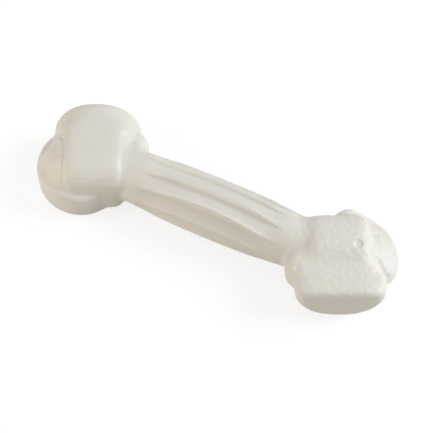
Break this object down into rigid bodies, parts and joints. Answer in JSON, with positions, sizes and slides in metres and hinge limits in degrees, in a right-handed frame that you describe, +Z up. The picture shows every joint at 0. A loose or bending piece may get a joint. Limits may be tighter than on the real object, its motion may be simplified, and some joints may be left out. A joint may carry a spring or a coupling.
{
  "type": "dog chew bone",
  "caption": "Ivory nylon dog chew bone: a barrel shaft with leaf-shaped ribs, and at each end a knotted head of a wide strap with a flared, cut-off tail over a round loop.",
  "frame": {"origin": "on the table, under the middle of the shaft, at the centre of the bottom of the bounding box", "axes": "+X along the shaft towards the head with its tail flat side up, +Z up from the rest faces under the loops"},
  "size_m": [0.1876, 0.06, 0.0314],
  "materials": {
    "nylon": "satin moulded ivory nylon"
  },
  "bodies": {
    "root": {"shaft": "nylon", "right_strap": "nylon", "right_loop": "nylon", "left_strap": "nylon", "left_loop": "nylon"}
  },
  "joints": []
}
